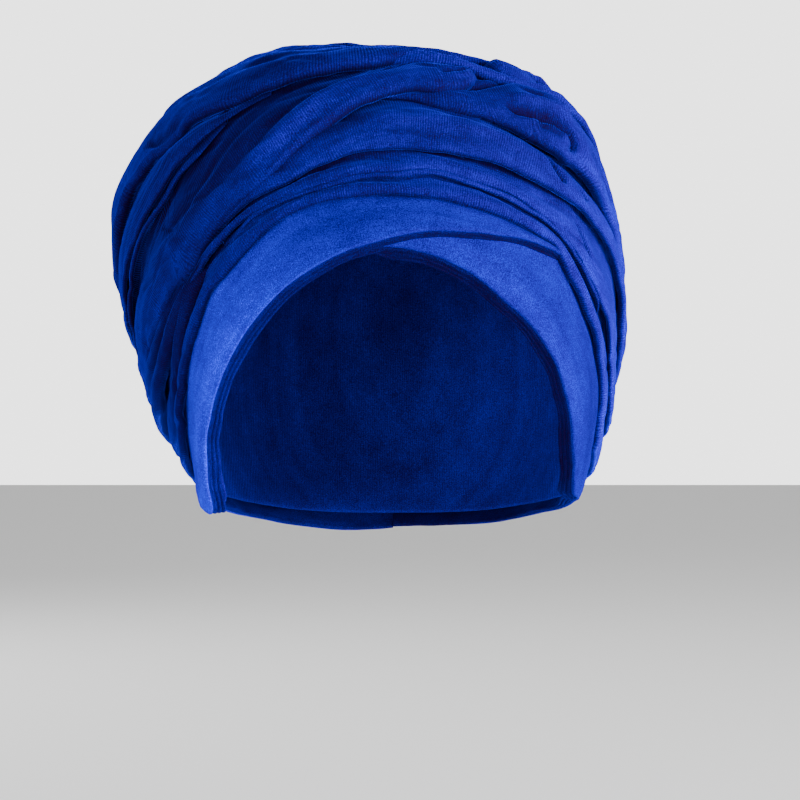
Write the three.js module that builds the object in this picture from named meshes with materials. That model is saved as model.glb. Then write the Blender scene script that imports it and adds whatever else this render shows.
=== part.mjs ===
import * as THREE from 'three';

// Driving dimensions, in millimetres
const headWidth = 146; // the hollow, side to side
const headLength = 188; // the hollow, front to back
const headHeight = 180; // the hollow's full ellipse, of which the cap covers the upper part
const centreRise = 22; // the hollow's centre above the tops of the ears
const centreSet = 5; // and behind the line through them
const capWall = 2;
const capPuff = 16; // how far the crown of the cap stands off the head
const bandThickness = 5.5;
const hemExtra = 1.5; // the bands are thicker by this at the opening
const wrapBulk = 46; // the deepest stack of passes, over the left shoulder of the wrap
const thinnest = 2.2; // the least that one pass adds
const tailEnd = 0.5; // what is left of a pass where it runs out under another
const pleatRise = 2.4; // how far each pleat of the lowest pass stands over the one below
const twistSwell = 5; // how far the twisted bundle rounds out along its middle
const clearance = 0.5; // between one layer and the next
const knotHeight = 5; // how far the tucked end bulges
const seamGap = 0.5; // between the ends of the two bands at the nape

// Shape of the winding, in degrees
const lean = 28; // the rings of cloth lean back by this

// Stations round the head
const stations = 48;
const stationStep = 360 / stations;

// Edges of the cap and of each pass. Turn is measured round the head from the forehead, towards the right ear,
// and the other columns are heights above the leaning middle plane, all in degrees: the foot of the piece, the
// height up to which it shows, and its top under the next pass.
const openingRows = [
  // turn, foot, top
  [-150, -11, 0],
  [-120, -22, -9],
  [-105, -29, -15],
  [-90, -35, -18],
  [-75, -34.5, -12],
  [-60, -27, -2],
  [-45, -17.5, 11],
  [-30, -9, 17],
  [-15, -2.5, 21.5],
  [0, 2, 22],
  [15, -2.5, 22],
  [30, -9, 21],
  [45, -17.5, 17],
  [60, -27, 6],
  [75, -34.5, -7],
  [90, -35, -16],
  [105, -29, -15],
  [120, -22, -9],
  [150, -11, 0],
  [180, -6, 4],
];

// The over band leaves the opening right of the forehead and runs up under the passes.
const overBandRows = [
  // turn, foot, top
  [-180, -6, 4],
  [-150, -11, 0],
  [-120, -22, -9],
  [-105, -29, -15],
  [-90, -35, -18],
  [-75, -34.5, -12],
  [-60, -27, -2],
  [-45, -17.5, 11],
  [-30, -9, 17],
  [-15, -2.5, 21.5],
  [0, 2, 22],
  [15, 3.5, 22],
  [30, 6, 21],
  [45, 9.5, 19],
  [52.5, 12, 17.5],
];

const lowWrapRows = [
  // turn, foot, seen to, top
  [-150, -4, 12, 18],
  [-120, -15, 6, 12],
  [-105, -18, 2, 8],
  [-90, -20, -2, 5],
  [-75, -19, -2, 5],
  [-60, -9.5, 3, 9],
  [-45, 1.5, 8, 15],
  [-30, 6.5, 12.5, 20],
  [-15, 10.5, 18, 26],
  [0, 10.5, 20, 28],
  [15, 10, 19, 27],
  [30, 9, 18, 26],
  [45, 6, 17.5, 25],
  [60, -3.5, 13, 20],
  [75, -12.5, 5, 12],
  [90, -15, -1, 6],
  [105, -16, 0, 8],
  [120, -13, 3, 11],
  [150, -4, 9, 15],
  [180, 0, 13, 19],
];

const midWrapRows = [
  // turn, foot, seen to, top
  [-150, 12, 24, 32],
  [-120, 6, 20, 28],
  [-90, 8, 15, 23],
  [-75, 9, 14, 21],
  [-60, 7, 10, 17],
  [-45, 8, 10, 18],
  [-30, 12.5, 14, 23],
  [-15, 18, 22, 31],
  [0, 20, 31, 39],
  [15, 19, 28, 38],
  [30, 18, 26.5, 36],
  [45, 17.5, 24, 33],
  [60, 13, 18, 26],
  [75, 5, 11, 20],
  [90, -1, 6, 16],
  [120, 3, 12, 22],
  [150, 9, 20, 30],
  [180, 13, 24, 34],
];

const leftWrapRows = [
  // turn, foot, seen to, top
  [-195, 6, 24, 32],
  [-180, 3, 22, 30],
  [-150, -1, 18, 27],
  [-120, -6, 14, 24],
  [-105, -11, 11, 21],
  [-90, -13, 8, 18],
  [-75, -9, 5, 15],
  [-60, -1, 2, 12],
  [-45, 6, 8, 15],
];

const crownWrapRows = [
  // turn, foot, seen to, top
  [-135, 30, 52, 57],
  [-90, 34, 57, 62],
  [-45, 36, 59, 65],
  [0, 38, 60, 66],
  [45, 36, 59, 65],
  [90, 32, 56, 62],
  [135, 28, 51, 57],
  [180, 26, 47, 54],
];

const rightWrapRows = [
  // turn, foot, seen to, top
  [-7.5, 27, 33, 35],
  [0, 29, 36, 38],
  [7.5, 29.5, 38, 40],
  [15, 28, 41, 44],
  [30, 26.5, 47, 50],
  [45, 24, 52, 56],
  [52.5, 21, 52, 56],
  [60, 16, 52, 56],
  [75, 9, 51, 55],
  [90, 5, 50, 53],
  [120, 9, 46, 50],
  [150, 17, 43, 47],
  [180, 24, 41, 45],
  [210, 32, 39, 42],
];

const twistRows = [
  // turn, foot, seen to, top
  [-202.5, 32, 39, 40],
  [-180, 24, 39, 41],
  [-150, 17, 41, 44],
  [-120, 13, 43, 46],
  [-90, 9, 45, 48],
  [-75, 5, 46, 49],
  [-60, -0.5, 46, 49],
  [-52.5, -3, 46, 49],
  [-45, -1.5, 45, 48],
  [-37.5, 6, 43, 46],
  [-30, 11.3, 42, 45],
  [-22.5, 15.5, 42, 45],
  [-15, 22, 42, 45],
  [-7.5, 27, 42.5, 46],
  [0, 31, 43.5, 46],
  [7.5, 34, 44, 46],
  [15, 37, 44.5, 46],
  [22.5, 42, 45.5, 46.5],
];

const tuckEndRows = [
  // turn, foot, seen to, top
  [15, 45.5, 47, 48],
  [22.5, 43.5, 49, 50.5],
  [30, 42.5, 50, 51.5],
  [37.5, 43.5, 49, 50.5],
  [45, 46, 47.5, 48.5],
];

// Depth of the whole stack over the cap, as shares of wrapBulk. Rise is in degrees, and the columns are turns.
const bulkTurns = [0, 45, 90, 135, 180, 225, 270, 315];
const bulkRows = [
  // rise, front, right front, right, right back, back, left back, left, left front
  [-30, 0.1, 0.1, 0.07, 0.1, 0.08, 0.1, 0.08, 0.1],
  [-15, 0.12, 0.12, 0.1, 0.14, 0.13, 0.15, 0.11, 0.12],
  [0, 0.14, 0.15, 0.15, 0.25, 0.26, 0.3, 0.22, 0.18],
  [15, 0.2, 0.29, 0.28, 0.36, 0.38, 0.48, 0.55, 0.4],
  [30, 0.5, 0.52, 0.38, 0.44, 0.46, 0.64, 0.9, 0.76],
  [45, 0.68, 0.62, 0.46, 0.5, 0.48, 0.68, 0.95, 0.92],
  [60, 0.58, 0.63, 0.61, 0.49, 0.42, 0.57, 0.77, 0.79],
  [75, 0.48, 0.5, 0.47, 0.36, 0.3, 0.38, 0.51, 0.54],
];

// Colours of the velvet, in the light and in the folds
const velvet = new THREE.Color(0x1a3fd0);
const velvetDeep = new THREE.Color(0x122c9c);

const radians = Math.PI / 180;
const smoothStep = (from, to, value) => THREE.MathUtils.smoothstep(value, from, to);

const wrapAxis = new THREE.Vector3(0, Math.sin(lean * radians), Math.cos(lean * radians));
const foreheadAxis = new THREE.Vector3(0, -Math.cos(lean * radians), Math.sin(lean * radians));
const centre = new THREE.Vector3(0, centreSet, centreRise);

function heading(turn, rise) {
  const level = Math.cos(rise * radians);
  return new THREE.Vector3(level * Math.sin(turn * radians), 0, 0)
    .addScaledVector(foreheadAxis, level * Math.cos(turn * radians))
    .addScaledVector(wrapAxis, Math.sin(rise * radians));
}

function place(turn, rise, radius) {
  return heading(turn, rise).multiplyScalar(radius).add(centre);
}

// Distance from the centre to the head form, an ellipsoid
function headRadius(turn, rise) {
  const way = heading(turn, rise);
  const across = way.x / (headWidth / 2);
  const along = way.y / (headLength / 2);
  const up = way.z / (headHeight / 2);
  return 1 / Math.sqrt(across * across + along * along + up * up);
}

function capInside(turn, rise) {
  return headRadius(turn, rise) + capPuff * smoothStep(25, 75, rise);
}

function capOutside(turn, rise) {
  return capInside(turn, rise) + capWall;
}

// A smooth curve through the rows of a table, which may run right round
function readRows(rows, column, at, period = 0) {
  const count = rows.length;
  const row = (index) => {
    if (!period) return rows[Math.min(Math.max(index, 0), count - 1)];
    const turns = Math.floor(index / count);
    const found = rows[index - turns * count].slice();
    found[0] += turns * period;
    return found;
  };
  let where = at;
  if (period) where = rows[0][0] + THREE.MathUtils.euclideanModulo(at - rows[0][0], period);
  let index = 0;
  while (index < count - (period ? 1 : 2) && row(index + 1)[0] <= where) index += 1;
  const [before, low, high, after] = [-1, 0, 1, 2].map((step) => row(index + step));
  const width = high[0] - low[0];
  const share = THREE.MathUtils.clamp((where - low[0]) / width, 0, 1);
  const slope = (left, right) => (right[column] - left[column]) / Math.max(right[0] - left[0], stationStep);
  const [slopeLow, slopeHigh] = [slope(before, high) * width, slope(low, after) * width];
  const [square, cube] = [share * share, share * share * share];
  return (
    (2 * cube - 3 * square + 1) * low[column] +
    (cube - 2 * square + share) * slopeLow +
    (3 * square - 2 * cube) * high[column] +
    (cube - square) * slopeHigh
  );
}

function wrapForm(turn, rise) {
  const limited = THREE.MathUtils.clamp(rise, bulkRows[0][0], bulkRows[bulkRows.length - 1][0]);
  const shares = bulkTurns.map((at, index) => [at, readRows(bulkRows, index + 1, limited)]);
  return headRadius(turn, rise) + capWall + wrapBulk * readRows(shares, 1, turn, 360);
}

// The grid of turns that every piece shares
const ringTurns = Array.from({ length: stations }, (_, index) => index * stationStep - 180);

// The outside of what is laid so far, at each turn of the grid, by rise
const lowestRise = -60;
const riseStep = 0.4;
const riseCount = Math.round((90 - lowestRise) / riseStep) + 1;
const riseAt = (index) => lowestRise + index * riseStep;
const rises = Array.from({ length: riseCount }, (_, index) => riseAt(index));
const laid = ringTurns.map((turn) => rises.map((rise) => capOutside(turn, rise)));
const bedReach = 8; // degrees to each side that a layer is kept clear of the edges beneath it

function nearestStation(turn) {
  return THREE.MathUtils.euclideanModulo(Math.round((turn + 180) / stationStep), stations);
}

function bed(turn, rise) {
  const first = Math.max(Math.floor((rise - bedReach - lowestRise) / riseStep), 0);
  const last = Math.min(Math.ceil((rise + bedReach - lowestRise) / riseStep), riseCount - 1);
  return Math.max(...laid[nearestStation(turn)].slice(first, last + 1)) + clearance;
}

function geometryOf(points, faces) {
  const share = ([a, b, c]) => points[a].dot(points[b].clone().cross(points[c]));
  const volume = faces.reduce((sum, face) => sum + share(face), 0);
  const turnedOut = volume < 0 ? faces.map(([a, b, c]) => [a, c, b]) : faces;
  const geometry = new THREE.BufferGeometry();
  const numbers = points.flatMap((point) => [point.x, point.y, point.z]);
  geometry.setAttribute('position', new THREE.Float32BufferAttribute(numbers, 3));
  geometry.setIndex(turnedOut.flat());
  geometry.computeVertexNormals();
  return geometry;
}

// A closed body from loops of points. A ring joins its last loop to its first, and an open run is closed at
// each end between the under and the upper half of its loop.
function bodyFromLoops(loops, ring) {
  const size = loops[0].length;
  const faces = [];
  const runs = ring ? loops.length : loops.length - 1;
  for (let index = 0; index < runs; index += 1) {
    const here = index * size;
    const there = ((index + 1) % loops.length) * size;
    for (let spot = 0; spot < size; spot += 1) {
      const next = (spot + 1) % size;
      faces.push([here + spot, there + spot, there + next]);
      faces.push([here + spot, there + next, here + next]);
    }
  }
  const end = (loops.length - 1) * size;
  for (let spot = 0; !ring && spot < size / 2 - 1; spot += 1) {
    const [a, b, c, d] = [spot, spot + 1, size - 2 - spot, size - 1 - spot];
    faces.push([a, b, c], [a, c, d], [end + a, end + c, end + b], [end + a, end + d, end + c]);
  }
  return geometryOf(loops.flat(), faces);
}

// The turns of one piece: those of the grid, with its own ends
function runTurns({ from, to }) {
  const first = Math.ceil((from + 0.01) / stationStep);
  const between = Math.ceil((to - 0.01) / stationStep) - first;
  return [from, ...Array.from({ length: between }, (_, index) => (first + index) * stationStep), to];
}

// Where each loop has its points, as shares of the stretch that shows and of the stretch under the next pass
const shownShares = [0, 0.06, 0.18, 0.4, 0.65, 0.86, 0.998];
const tuckShares = [0.3, 1];
const edgeDepth = 0.5; // share of the depth left at a pass's rolled foot
const tuckDepth = 0.5; // and under the next pass

function depthShare(share, seenShare) {
  const rolled = edgeDepth + (1 - edgeDepth) * smoothStep(0, 0.14 * seenShare, share);
  const tucked = smoothStep(seenShare, seenShare + 0.3 * (1 - seenShare), share);
  return rolled + (tuckDepth - rolled) * tucked;
}

// One layer of cloth between its foot and its top. A run has its first and last turn, and the turn it takes
// to run out at each. depthAt gives how far the layer's outside stands over its bed.
function layCloth({ rows, run, depthAt, shares = shownShares }) {
  const turns = run ? runTurns(run) : ringTurns;
  const fade = (turn) => {
    if (!run) return 1;
    const rising = smoothStep(run.from, run.from + run.fadeIn, turn);
    return rising * (1 - smoothStep(run.to - run.fadeOut, run.to, turn));
  };
  const limitsAt = (turn) => {
    const [foot, seen, top] = [1, 2, 3].map((column) => readRows(rows, column, turn, run ? 0 : 360));
    return { foot, top, seenShare: (seen - foot) / (top - foot) };
  };
  const sides = (turn, share, { foot, top, seenShare }) => {
    const rise = foot + (top - foot) * share;
    const base = bed(turn, rise);
    const full = Math.max(depthAt(turn, rise, share / seenShare, base), thinnest);
    const depth = full * depthShare(share, seenShare);
    return { rise, under: base, over: base + tailEnd + Math.max(depth - tailEnd, 0) * fade(turn) };
  };
  const loops = turns.map((turn) => {
    const limits = limitsAt(turn);
    const shown = shares.map((share) => share * limits.seenShare);
    const tucked = tuckShares.map((share) => limits.seenShare + (1 - limits.seenShare) * share);
    const spots = [...shown, ...tucked].map((share) => sides(turn, share, limits));
    const under = spots.map((spot) => place(turn, spot.rise, spot.under));
    return [...under, ...spots.map((spot) => place(turn, spot.rise, spot.over)).reverse()];
  });
  const outsides = turns.map((turn) => {
    const limits = limitsAt(turn);
    const lowest = Math.max(Math.ceil((limits.foot - lowestRise) / riseStep), 0);
    const highest = Math.min(Math.floor((limits.top - lowestRise) / riseStep), riseCount - 1);
    return rises.slice(lowest, highest + 1).map((rise, number) => {
      const share = (rise - limits.foot) / (limits.top - limits.foot);
      return [lowest + number, sides(turn, share, limits).over];
    });
  });
  turns.forEach((turn, number) => {
    const station = laid[nearestStation(turn)];
    for (const [index, over] of outsides[number]) station[index] = Math.max(station[index], over);
  });
  return bodyFromLoops(loops, !run);
}

const headwrap = new THREE.Group();
headwrap.name = 'headwrap';

function addPiece(name, color, roughness, geometry) {
  const mesh = new THREE.Mesh(geometry, new THREE.MeshStandardMaterial({ color, roughness, metalness: 0 }));
  mesh.name = name;
  headwrap.add(mesh);
}

// The close cap: a shell over the head form, open below, with its edge behind the bands' edge
function makeCap() {
  const edgeLift = 2.5;
  const lastRise = 88;
  const rings = [0, 0.15, 0.4, 0.62, 0.82, 1];
  const count = rings.length;
  const points = ringTurns.flatMap((turn) => {
    const edge = readRows(openingRows, 1, turn, 360) + edgeLift;
    const heights = rings.map((share) => edge + (lastRise - edge) * share);
    const under = heights.map((rise) => place(turn, rise, capInside(turn, rise)));
    return [...under, ...heights.map((rise) => place(turn, rise, capOutside(turn, rise)))];
  });
  const [underPole, overPole] = [points.length, points.length + 1];
  points.push(place(0, 90, capInside(0, 90)), place(0, 90, capOutside(0, 90)));
  const faces = [];
  ringTurns.forEach((turn, index) => {
    const here = index * count * 2;
    const there = ((index + 1) % ringTurns.length) * count * 2;
    for (let ring = 0; ring < count - 1; ring += 1) {
      const [low, high] = [here + count + ring, there + count + ring];
      faces.push([here + ring, there + ring + 1, there + ring]);
      faces.push([here + ring, here + ring + 1, there + ring + 1]);
      faces.push([low, high, high + 1], [low, high + 1, low + 1]);
    }
    faces.push([here, there, there + count], [here, there + count, here + count]);
    faces.push([here + count - 1, underPole, there + count - 1]);
    faces.push([here + 2 * count - 1, there + 2 * count - 1, overPole]);
  });
  return geometryOf(points, faces);
}

// The bands round the opening are thickest at the hem. Their upper part lies under the passes.
const bandShares = [0, 0.04, 0.14, 0.3, 0.6, 0.998];
const bandShown = 0.7;
const tipThinning = 0.4; // share of the depth that a band loses from the cheeks back
const napeGap = (seamGap / headLength) * 2 / radians;
const underBandRows = openingRows.filter(([turn]) => turn >= -15);
const bandRows = (rows) => rows.map(([turn, foot, top]) => [turn, foot, foot + (top - foot) * bandShown, top]);

function bandDepth(turn, rise, share) {
  const full = bandThickness + hemExtra * (1 - smoothStep(0.05, 0.4, share));
  return full * (1 - tipThinning * smoothStep(55, 85, Math.abs(turn)));
}

function makeBand(rows, run) {
  return layCloth({ rows: bandRows(rows), run, depthAt: bandDepth, shares: bandShares });
}

// A pass fills the winding out to its form
function passDepth(turn, rise, share, base) {
  return wrapForm(turn, rise) - base;
}

// The lowest pass is laid in three pleats, each standing over the one below, with a sharp step between them
const pleats = 3;
const pleatShares = [0, 0.05, 0.18, 0.31, 0.34, 0.48, 0.64, 0.67, 0.82, 0.998];

function pleatDepth(turn, rise, share, base) {
  const pleat = Math.min(Math.floor(share * pleats + 0.05), pleats - 1);
  const along = share * pleats - pleat;
  return passDepth(turn, rise, share, base) + pleatRise * (0.5 - 0.9 * Math.max(along, 0));
}

// The twist is a full round bundle, highest along its middle
function twistDepth(turn, rise, share, base) {
  const round = Math.sin(Math.PI * Math.min(Math.max(share, 0), 1));
  return passDepth(turn, rise, share, base) + twistSwell * (round - 0.6);
}

function knotDepth(turn, rise, share, base) {
  return passDepth(turn, rise, share, base) + knotHeight * Math.sin(Math.PI * Math.min(share, 1));
}

addPiece('cap_crown', velvetDeep, 0.95, makeCap());
addPiece(
  'front_band_right',
  velvet,
  0.85,
  makeBand(underBandRows, { from: -7.5, to: 180 - napeGap, fadeIn: 14, fadeOut: 0.01 }),
);
addPiece(
  'front_band_left',
  velvet,
  0.85,
  makeBand(overBandRows, { from: -180, to: 52.5, fadeIn: 0.01, fadeOut: 15 }),
);
addPiece('low_wrap', velvet, 0.9, layCloth({ rows: lowWrapRows, depthAt: pleatDepth, shares: pleatShares }));
addPiece('mid_wrap', velvet, 0.9, layCloth({ rows: midWrapRows, depthAt: passDepth }));
addPiece(
  'left_wrap',
  velvetDeep,
  0.9,
  layCloth({ rows: leftWrapRows, run: { from: -195, to: -45, fadeIn: 30, fadeOut: 15 }, depthAt: passDepth }),
);
addPiece('crown_wrap', velvetDeep, 0.9, layCloth({ rows: crownWrapRows, depthAt: passDepth }));
addPiece(
  'right_wrap',
  velvet,
  0.9,
  layCloth({ rows: rightWrapRows, run: { from: -7.5, to: 210, fadeIn: 12, fadeOut: 30 }, depthAt: passDepth }),
);
addPiece(
  'left_twist',
  velvet,
  0.9,
  layCloth({ rows: twistRows, run: { from: -202.5, to: 22.5, fadeIn: 30, fadeOut: 12 }, depthAt: twistDepth }),
);
addPiece(
  'tuck_end',
  velvet,
  0.9,
  layCloth({ rows: tuckEndRows, run: { from: 15, to: 45, fadeIn: 8, fadeOut: 8 }, depthAt: knotDepth }),
);

export default headwrap;
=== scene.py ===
import bmesh
import bpy
import numpy as np
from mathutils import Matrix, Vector


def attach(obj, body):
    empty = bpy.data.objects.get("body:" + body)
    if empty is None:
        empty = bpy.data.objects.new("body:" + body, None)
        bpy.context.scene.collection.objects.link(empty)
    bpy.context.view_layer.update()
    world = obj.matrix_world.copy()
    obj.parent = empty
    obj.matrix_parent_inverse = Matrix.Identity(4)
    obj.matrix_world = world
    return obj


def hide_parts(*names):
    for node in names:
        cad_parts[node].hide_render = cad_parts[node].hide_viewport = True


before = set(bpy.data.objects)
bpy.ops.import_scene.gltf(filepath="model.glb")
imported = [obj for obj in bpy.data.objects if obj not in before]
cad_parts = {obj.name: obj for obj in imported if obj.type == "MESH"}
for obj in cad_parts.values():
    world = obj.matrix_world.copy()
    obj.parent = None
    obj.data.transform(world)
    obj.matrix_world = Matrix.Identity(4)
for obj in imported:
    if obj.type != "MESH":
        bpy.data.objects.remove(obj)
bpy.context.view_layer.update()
print("frame loaded, nodes:", len(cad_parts))

# The form that the cloth is wound on and over. Lengths are in millimetres and angles in degrees.
# Turn goes round the head from the forehead towards the right ear, and rise is the height over the leaning
# middle plane.
form = {
    "width": 146.0,  # the hollow for the head
    "length": 188.0,
    "height": 180.0,
    "centreRise": 22.0,
    "centreSet": 5.0,
    "lean": 28.0,  # the windings lean back by this
    "wall": 2.0,
    "puff": 16.0,  # the cap's crown stands off the head by this
    "bulk": 46.0,  # the deepest winding
    "turns": [0, 45, 90, 135, 180, 225, 270, 315],
    "rows": [  # rise, then the depth of the winding at each of the turns, as shares of the bulk
        [-30, 0.10, 0.10, 0.07, 0.10, 0.08, 0.10, 0.08, 0.10],
        [-15, 0.12, 0.12, 0.10, 0.14, 0.13, 0.15, 0.11, 0.12],
        [0, 0.14, 0.15, 0.15, 0.25, 0.26, 0.30, 0.22, 0.18],
        [15, 0.20, 0.29, 0.28, 0.36, 0.38, 0.48, 0.55, 0.40],
        [30, 0.50, 0.52, 0.38, 0.44, 0.46, 0.64, 0.90, 0.76],
        [45, 0.68, 0.62, 0.46, 0.50, 0.48, 0.68, 0.95, 0.92],
        [60, 0.58, 0.63, 0.61, 0.49, 0.42, 0.57, 0.77, 0.79],
        [75, 0.48, 0.50, 0.47, 0.36, 0.30, 0.38, 0.51, 0.54],
    ],
}

mm = 0.001
lean = np.radians(form["lean"])
across = np.array([1.0, 0.0, 0.0])
upAxis = np.array([0.0, np.sin(lean), np.cos(lean)])
foreAxis = np.array([0.0, -np.cos(lean), np.sin(lean)])
centre = np.array([0.0, form["centreSet"], form["centreRise"]])


def curveThrough(xs, ys, at):
    # a smooth curve through the rows of a table
    xs, ys, at = (np.asarray(values, float) for values in (xs, ys, at))
    slopes = np.gradient(ys, xs)
    slopes[1:-1] = (ys[2:] - ys[:-2]) / (xs[2:] - xs[:-2])
    spot = np.clip(np.searchsorted(xs, at, side="right") - 1, 0, len(xs) - 2)
    width = xs[spot + 1] - xs[spot]
    share = np.clip((at - xs[spot]) / width, 0, 1)
    square, cube = share ** 2, share ** 3
    low = (2 * cube - 3 * square + 1) * ys[spot] + (cube - 2 * square + share) * slopes[spot] * width
    high = (3 * square - 2 * cube) * ys[spot + 1] + (cube - square) * slopes[spot + 1] * width
    return low + high


def smoothStep(low, high, value):
    share = np.clip((np.asarray(value, float) - low) / (high - low), 0, 1)
    return share * share * (3 - 2 * share)


def ringColumn(rows, column, turn):
    # a column of a table that runs right round the head
    rows = sorted(((row[0] + 180) % 360 - 180, row[column]) for row in rows)
    before = [(at - 360, value) for at, value in rows[-3:]]
    after = [(at + 360, value) for at, value in rows[:3]]
    rows = before + rows + after
    xs, ys = zip(*rows)
    return curveThrough(xs, ys, (np.asarray(turn, float) + 180) % 360 - 180)


def heading(turn, rise):
    turn, rise = np.radians(turn), np.radians(rise)
    level = np.cos(rise)
    ahead = (level * np.cos(turn))[..., None] * foreAxis
    aside = (level * np.sin(turn))[..., None] * across
    return ahead + aside + np.sin(rise)[..., None] * upAxis


def place(turn, rise, radius):
    return centre + heading(turn, rise) * np.asarray(radius)[..., None]


def headRadius(turn, rise):
    halves = np.array([form["width"], form["length"], form["height"]]) / 2
    return 1 / np.sqrt(((heading(turn, rise) / halves) ** 2).sum(-1))


def capInside(turn, rise):
    return headRadius(turn, rise) + form["puff"] * smoothStep(25, 75, rise)


def formRadius(turn, rise):
    # the outside of the winding
    turn, rise = np.broadcast_arrays(np.asarray(turn, float), np.asarray(rise, float))
    table = np.array(form["rows"])
    limited = np.clip(rise, table[0, 0], table[-1, 0])
    count = len(form["turns"])
    columns = np.stack([curveThrough(table[:, 0], table[:, spot + 1], limited) for spot in range(count)])
    at = (turn % 360) / (360 / count)
    whole = np.floor(at).astype(int)
    share = at - whole
    before, low, high, after = (
        np.take_along_axis(columns, ((whole + step) % count)[None], 0)[0] for step in (-1, 0, 1, 2)
    )
    square, cube = share ** 2, share ** 3
    depth = (2 * cube - 3 * square + 1) * low + (cube - 2 * square + share) * (high - before) / 2
    depth += (3 * square - 2 * cube) * high + (cube - square) * (after - low) / 2
    return headRadius(turn, rise) + form["wall"] + form["bulk"] * depth


def wander(turn, seed, length=30.0, octaves=2):
    # a gentle unevenness along the run, the same at every build; length is in degrees
    draw = np.random.default_rng(seed)
    total = np.zeros_like(np.asarray(turn, float))
    for octave in range(octaves):
        for _ in range(3):
            waves = max(1, round(360 / length * 2 ** octave * draw.uniform(0.6, 1.4)))
            total += np.sin(np.radians(turn) * waves + draw.uniform(0, 2 * np.pi)) / 2 ** octave / 3
    return total


def wrinkles(turn, rise, seed, share=0.35):
    # fine creases that run with the cloth, here and there; 0 is smooth and -1 is the bottom of a crease
    draw = np.random.default_rng(seed)
    total = np.zeros_like(rise)
    for _ in range(9):
        waves = draw.integers(2, 8)
        slant = draw.uniform(-0.25, 0.25)
        pitch = draw.uniform(3.0, 7.5)
        phase = (rise + slant * turn) * 2 * np.pi / pitch
        total += np.sin(np.radians(turn) * waves + phase + draw.uniform(0, 6.3))
    return -np.clip(total / 3 - share, 0, 1.4) / 1.4


def bell(distance, width):
    return np.exp(-((distance / width) ** 2))


def foldLines(lines, turn, rise, radius):
    # folds along short paths: a ridge where height is above 0, a crease below it
    total = np.zeros_like(radius)
    for line in lines:
        path = np.array(line["path"], float)
        best = np.full(radius.shape, 1e9)
        along = np.zeros_like(radius)
        lengths = np.hypot(np.diff(path[:, 0]), np.diff(path[:, 1]))
        starts = np.concatenate([[0], np.cumsum(lengths)])
        stretch = np.cos(np.radians(rise))
        for spot in range(len(path) - 1):
            (turnA, riseA), (turnB, riseB) = path[spot], path[spot + 1]
            runX, runY = (turnB - turnA) * stretch, riseB - riseA
            offX = ((turn - turnA + 180) % 360 - 180) * stretch
            offY = rise - riseA
            share = np.clip((offX * runX + offY * runY) / (runX ** 2 + runY ** 2 + 1e-9), 0, 1)
            away = np.hypot(offX - share * runX, offY - share * runY)
            closer = away < best
            best = np.where(closer, away, best)
            along = np.where(closer, starts[spot] + share * lengths[spot], along)
        distance = np.radians(best) * radius
        fade = line.get("fade", 0.25)  # a share of the path, at both ends
        ends = smoothStep(0, fade, along / starts[-1]) * smoothStep(0, fade, 1 - along / starts[-1])
        total += line["height"] * bell(distance, line["width"]) * ends
    return total


class ClothMesh:
    # gathers the strips of one piece as one mesh, with a map of millimetres along and across each strip
    def __init__(self):
        self.points, self.faces, self.maps, self.shades, self.count = [], [], [], [], 0

    def addLoops(self, loops, along, acrossRun, ring, shade):
        stations, size = loops.shape[:2]
        self.points.append(loops.reshape(-1, 3))
        self.shades.append(np.broadcast_to(shade, (stations, size)).ravel())
        self.maps.append(np.stack([along, acrossRun], -1).reshape(-1, 2))
        base = self.count + np.arange(stations * size).reshape(stations, size)
        here = base if ring else base[:-1]
        there = np.roll(base, -1, 0) if ring else base[1:]
        quads = np.stack([here, np.roll(here, -1, 1), np.roll(there, -1, 1), there], -1)
        self.faces += quads.reshape(-1, 4).tolist()
        if not ring:
            half = size // 2
            for row, flip in ((base[0], True), (base[-1], False)):
                for spot in range(half - 1):
                    quad = [row[spot], row[spot + 1], row[size - 2 - spot], row[size - 1 - spot]]
                    self.faces.append([int(corner) for corner in (quad[::-1] if flip else quad)])
        self.count += stations * size

    def build(self, name, material, node):
        mesh = bpy.data.meshes.new(name)
        points = np.concatenate(self.points) * mm
        mesh.from_pydata(points.tolist(), [], self.faces)
        layer = mesh.uv_layers.new(name="run")
        corners = np.empty(len(mesh.loops), int)
        mesh.loops.foreach_get("vertex_index", corners)
        layer.data.foreach_set("uv", np.concatenate(self.maps)[corners].astype(np.float32).ravel())
        shade = mesh.attributes.new("shade", "FLOAT", "POINT")
        shade.data.foreach_set("value", np.concatenate(self.shades).astype(np.float32))
        mesh.polygons.foreach_set("use_smooth", [True] * len(mesh.polygons))
        mesh.update()
        piece = bpy.data.objects.new(name, mesh)
        bpy.context.scene.collection.objects.link(piece)
        outwards(piece)
        piece.data.materials.append(material)
        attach(piece, "root")
        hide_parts(node)
        print("made", name, "with", len(mesh.polygons), "faces")
        return piece


def outwards(piece):
    # faces out, whichever way the strips were wound
    work = bmesh.new()
    work.from_mesh(piece.data)
    bmesh.ops.recalc_face_normals(work, faces=work.faces)
    work.to_mesh(piece.data)
    work.free()


quality = {
    "stationStep": 0.75,
    "face": 40,
    "roll": 7,
    "under": 6,
}


def stationTurns(run):
    if run is None:
        count = round(360 / quality["stationStep"])
        return np.arange(count) * 360.0 / count - 180
    count = max(8, round((run[1] - run[0]) / quality["stationStep"]))
    return np.linspace(run[0], run[1], count + 1)


def alongRun(value, turn):
    # a number, or rows of turn and number
    if isinstance(value, (int, float)):
        return np.full(len(turn), float(value))
    xs, ys = zip(*value)
    return np.interp(turn, xs, ys)


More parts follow.
